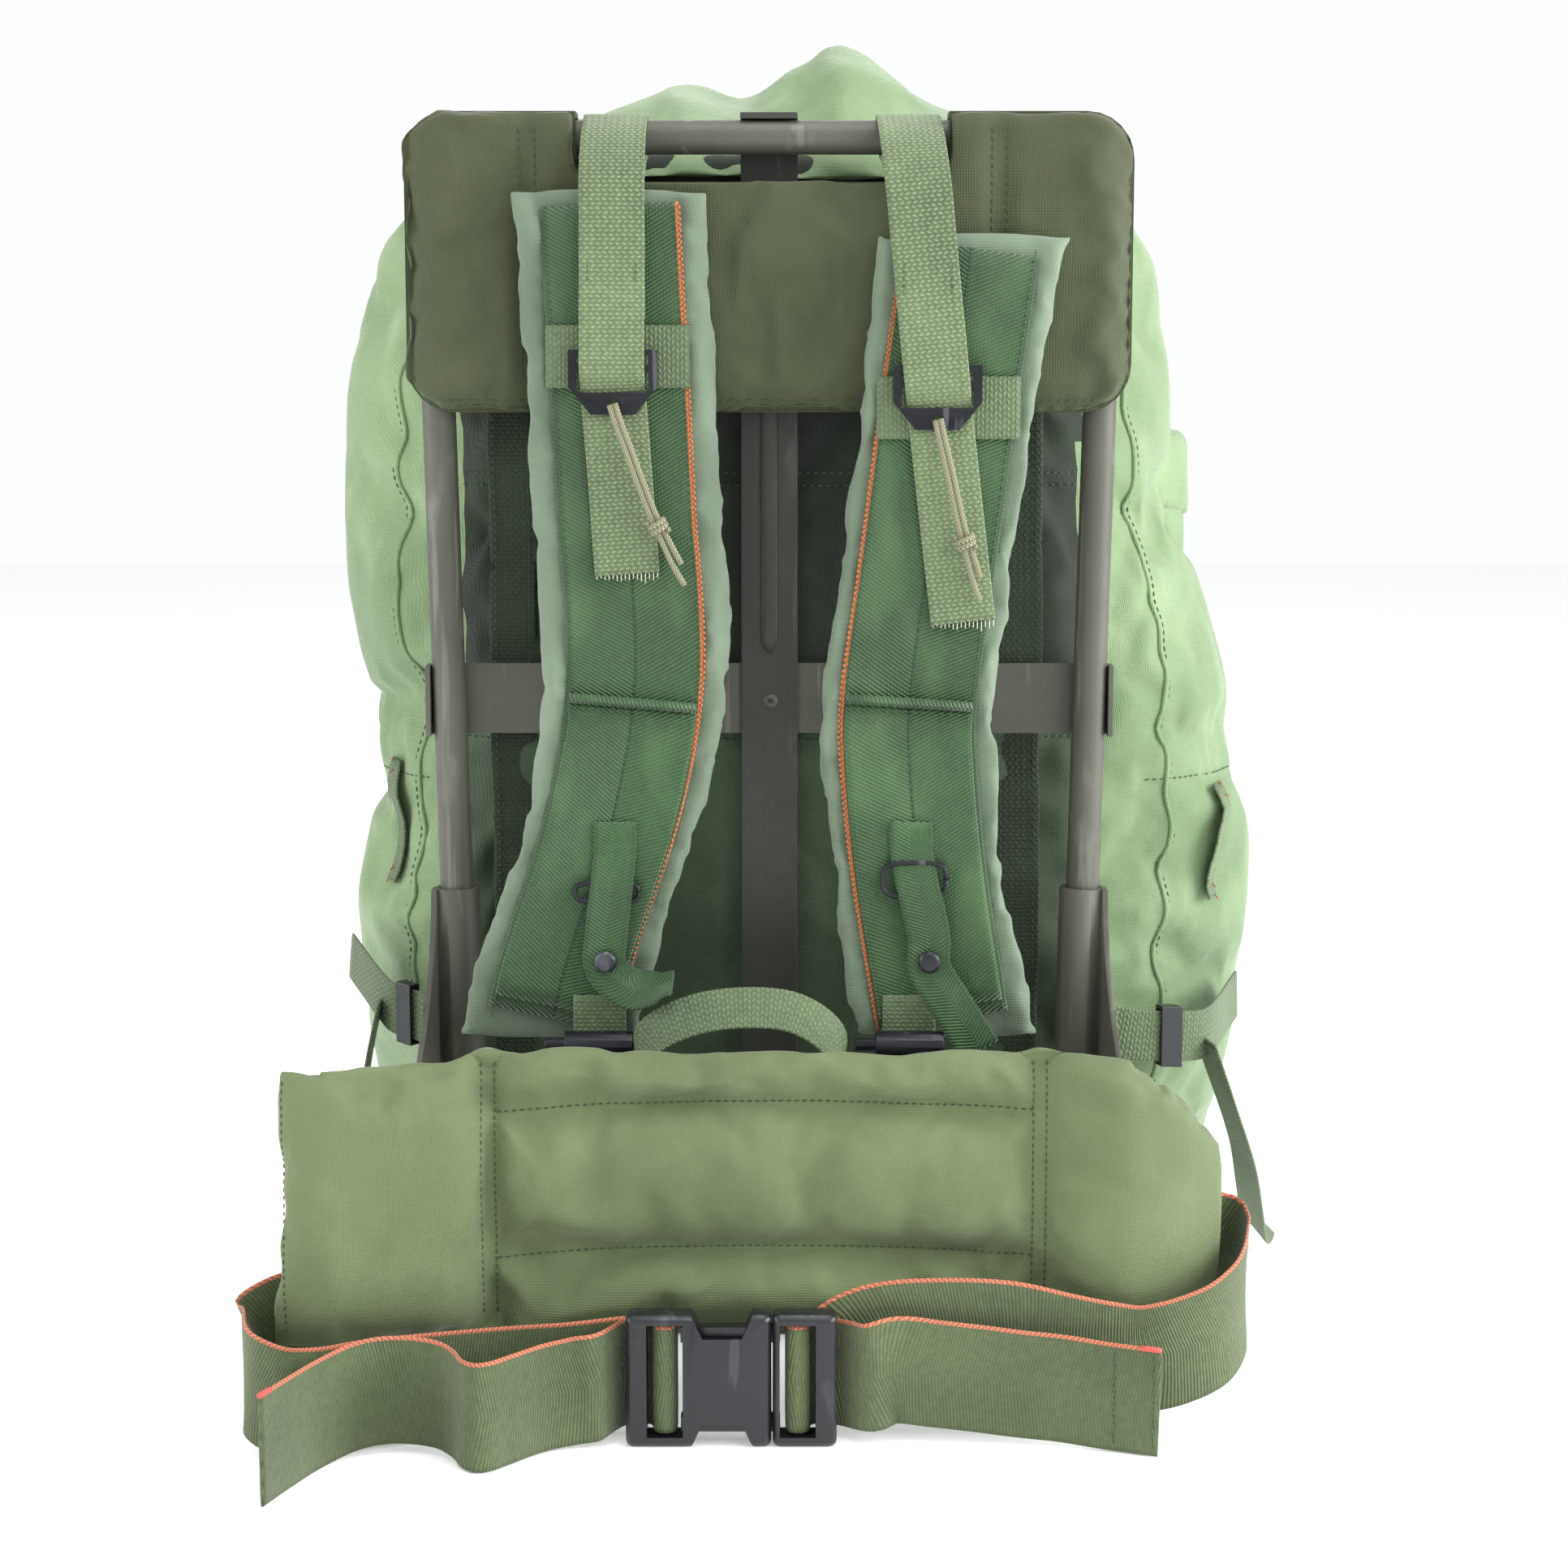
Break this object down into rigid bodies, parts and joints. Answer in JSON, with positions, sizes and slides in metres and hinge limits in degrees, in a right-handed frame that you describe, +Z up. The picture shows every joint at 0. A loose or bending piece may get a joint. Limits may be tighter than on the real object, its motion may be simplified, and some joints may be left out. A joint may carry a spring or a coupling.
{
  "type": "external frame backpack",
  "caption": "Stuffed cloth rucksack on a bent tube frame, with padded shoulder straps, pockets, a kidney pad and a fastened waist belt.",
  "frame": {"origin": "middle of the bag's flat underside, which stands on the floor", "axes": "+Z up, -Y towards the wearer (the frame and strap side), +X to the right of someone who looks at the straps"},
  "size_m": [0.5189, 0.4985, 0.6345],
  "materials": {
    "bag_nylon": "coated nylon duck, creased, soft sheen",
    "back_pocket_cloth": "matte worn olive nylon duck, padded",
    "strap_cloth": "matte grey-green twill over foam",
    "facing_webbing": "smooth green webbing with a satin sheen",
    "webbing": "woven olive webbing, matte",
    "pad_cloth": "olive nylon duck over foam, matte",
    "belt_webbing": "ribbed olive belt webbing, matte",
    "frame_paint": "matte grey-brown paint, worn at the edges",
    "black_plastic": "satin black with fine scratches",
    "black_steel": "black coated steel, worn at the edges",
    "cord": "matte khaki braided cord"
  },
  "bodies": {
    "root": {"frame_tube": "frame_paint", "centre_bar": "frame_paint", "mid_bar": "frame_paint", "gusset_left": "frame_paint", "gusset_right": "frame_paint", "lower_bow": "frame_paint", "bag_body": "bag_nylon", "lid_flap": "bag_nylon", "lower_pocket_left": "bag_nylon", "lower_flap_left": "bag_nylon", "lower_pocket_centre": "bag_nylon", "lower_flap_centre": "bag_nylon", "lower_pocket_right": "bag_nylon", "lower_flap_right": "bag_nylon", "upper_pocket_left": "bag_nylon", "upper_flap_left": "bag_nylon", "upper_pocket_centre": "bag_nylon", "upper_flap_centre": "bag_nylon", "upper_pocket_right": "bag_nylon", "upper_flap_right": "bag_nylon", "back_pocket": "back_pocket_cloth", "strap_pad_left": "strap_cloth", "strap_facing_left": "facing_webbing", "facing_overlap_left": "facing_webbing", "keeper_left": "webbing", "hanger_webbing_left": "webbing", "ladder_buckle_left": "black_steel", "pull_cord_left": "cord", "cord_knot_left": "cord", "release_tab_left": "facing_webbing", "snap_left": "black_steel", "release_rod_left": "black_steel", "lower_webbing_left": "webbing", "strap_pad_right": "strap_cloth", "strap_facing_right": "facing_webbing", "facing_overlap_right": "facing_webbing", "keeper_right": "webbing", "hanger_webbing_right": "webbing", "ladder_buckle_right": "black_steel", "pull_cord_right": "cord", "cord_knot_right": "cord", "release_tab_right": "facing_webbing", "snap_right": "black_steel", "release_rod_right": "black_steel", "lower_webbing_right": "webbing", "kidney_pad": "pad_cloth", "belt_left": "belt_webbing", "belt_right": "belt_webbing", "buckle_body": "black_plastic", "buckle_prong": "black_plastic", "pad_arch": "webbing", "compression_strap_left": "webbing", "strap_slide_left": "black_plastic", "compression_strap_right": "webbing", "strap_slide_right": "black_plastic", "lid_strap_left": "webbing", "lid_strap_right": "webbing", "side_loop_right": "webbing", "side_loop_left": "webbing"}
  },
  "joints": []
}
